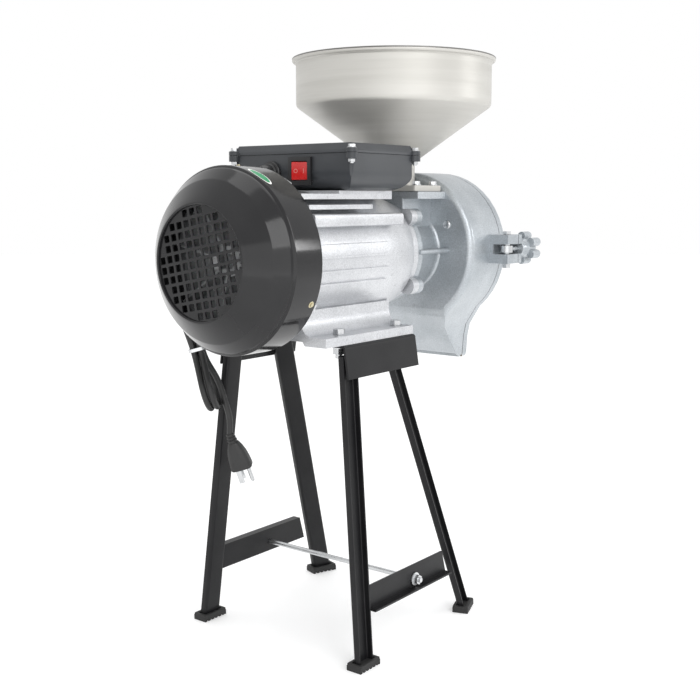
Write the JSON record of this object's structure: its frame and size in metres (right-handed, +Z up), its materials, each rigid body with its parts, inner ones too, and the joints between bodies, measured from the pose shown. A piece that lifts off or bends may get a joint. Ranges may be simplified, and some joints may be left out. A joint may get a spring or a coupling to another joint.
{
  "type": "disc grain mill",
  "caption": "Electric disc grain mill with a round hopper, cast mill head, fan-cooled motor, switch box and a four-legged steel stand.",
  "frame": {"origin": "middle of the object's box, at the level of the floor under the rubber foot pads", "axes": "+X along the motor shaft from the fan towards the mill head, +Y to the left seen from the fan end, +Z up"},
  "size_m": [0.5408, 0.2759, 0.7],
  "materials": {
    "stand_black": "satin",
    "rubber": "matt",
    "zinc": "zinc plated",
    "motor_silver": "silver paint over cast aluminium",
    "machined_steel": "machined",
    "cast_iron": "as cast",
    "copper": "enamelled",
    "fan_plastic": "matt",
    "cover_black": "gloss",
    "box_plastic": "semi-matt",
    "black_plastic": "semi-gloss",
    "red_plastic": "gloss",
    "casting_grey": "silver-grey paint over cast metal",
    "fibre": "matt",
    "stainless": "satin",
    "cord_black": "semi-matt"
  },
  "bodies": {
    "frame": {"leg_rear_right": "stand_black", "leg_rear_left": "stand_black", "leg_front_right": "stand_black", "leg_front_left": "stand_black", "top_rail_right": "stand_black", "top_rail_left": "stand_black", "brace_right": "stand_black", "brace_left": "stand_black", "foot_pad_rear_right": "rubber", "foot_pad_rear_left": "rubber", "foot_pad_front_right": "rubber", "foot_pad_front_left": "rubber", "tie_rod": "zinc", "tie_rod_nut_right": "zinc", "tie_rod_nut_left": "zinc", "foot_bolt_rear_right": "zinc", "foot_bolt_rear_left": "zinc", "foot_bolt_front_right": "zinc", "foot_bolt_front_left": "zinc", "adjusting_lock_nut": "zinc", "hinge_pin_right": "zinc", "hinge_pin_left": "zinc", "cord_tie": "zinc", "motor_housing": "motor_silver", "rear_end_shield": "motor_silver", "run_capacitor": "motor_silver", "stator_core": "machined_steel", "bearing_rear": "machined_steel", "bearing_front": "machined_steel", "fixed_disc": "cast_iron", "stator_winding_rear": "copper", "stator_winding_front": "copper", "fan_cover": "cover_black", "box_base": "box_plastic", "box_lid": "box_plastic", "switch_body": "black_plastic", "cable_gland": "black_plastic", "mill_casing": "casting_grey", "front_cover": "casting_grey", "cover_gasket": "fibre", "hopper": "stainless", "power_cord": "cord_black", "cord_hank": "cord_black", "cord_tail": "cord_black", "power_plug": "cord_black"},
    "rotor": {"motor_shaft": "machined_steel", "rotor_core": "machined_steel", "cooling_fan": "fan_plastic", "feed_auger": "cast_iron"},
    "moving_disc": {"moving_disc": "cast_iron"},
    "thrust_pad": {"thrust_pad": "machined_steel"},
    "adjusting_screw": {"adjusting_screw": "zinc"},
    "swing_bolt_right": {"swing_bolt_right": "zinc"},
    "swing_bolt_left": {"swing_bolt_left": "zinc"},
    "star_nut_right": {"star_nut_right": "casting_grey"},
    "star_nut_left": {"star_nut_left": "casting_grey"},
    "switch_rocker": {"switch_rocker": "red_plastic"}
  },
  "joints": [
    {"name": "rotor_spin", "type": "hinge", "parent": "frame", "child": "rotor", "pos_m": [-0.0704, 0, 0.4574], "axis": [1, 0, 0], "continuous": true},
    {"name": "adjust_turn", "type": "hinge", "parent": "thrust_pad", "child": "adjusting_screw", "pos_m": [0.2096, 0, 0.4574], "axis": [1, 0, 0], "range_deg": [-240, 0]},
    {"name": "adjust_advance", "type": "slide", "parent": "frame", "child": "thrust_pad", "axis": [1, 0, 0], "range_m": [-0.00101, 0]},
    {"name": "disc_advance", "type": "slide", "parent": "rotor", "child": "moving_disc", "axis": [1, 0, 0], "range_m": [-0.00101, 0]},
    {"name": "swing_right", "type": "hinge", "parent": "frame", "child": "swing_bolt_right", "pos_m": [0.1716, -0.118, 0.4595], "axis": [0, 0, 1], "range_deg": [-100, 0]},
    {"name": "swing_left", "type": "hinge", "parent": "frame", "child": "swing_bolt_left", "pos_m": [0.1716, 0.118, 0.4595], "axis": [0, 0, 1], "range_deg": [0, 100]},
    {"name": "star_turn_right", "type": "hinge", "parent": "swing_bolt_right", "child": "star_nut_right", "pos_m": [0.2146, -0.118, 0.4595], "axis": [1, 0, 0], "continuous": true},
    {"name": "star_turn_left", "type": "hinge", "parent": "swing_bolt_left", "child": "star_nut_left", "pos_m": [0.2146, 0.118, 0.4595], "axis": [1, 0, 0], "continuous": true},
    {"name": "rocker_tip", "type": "hinge", "parent": "frame", "child": "switch_rocker", "pos_m": [-0.1194, -0.015, 0.5557], "axis": [0, 0, 1], "range_deg": [-18, 0]}
  ],
  "couplings": [
    {"joint": "adjust_advance", "follows": "adjust_turn", "m_per_rad": 0.00023873},
    {"joint": "disc_advance", "follows": "adjust_turn", "m_per_rad": 0.00023873}
  ]
}
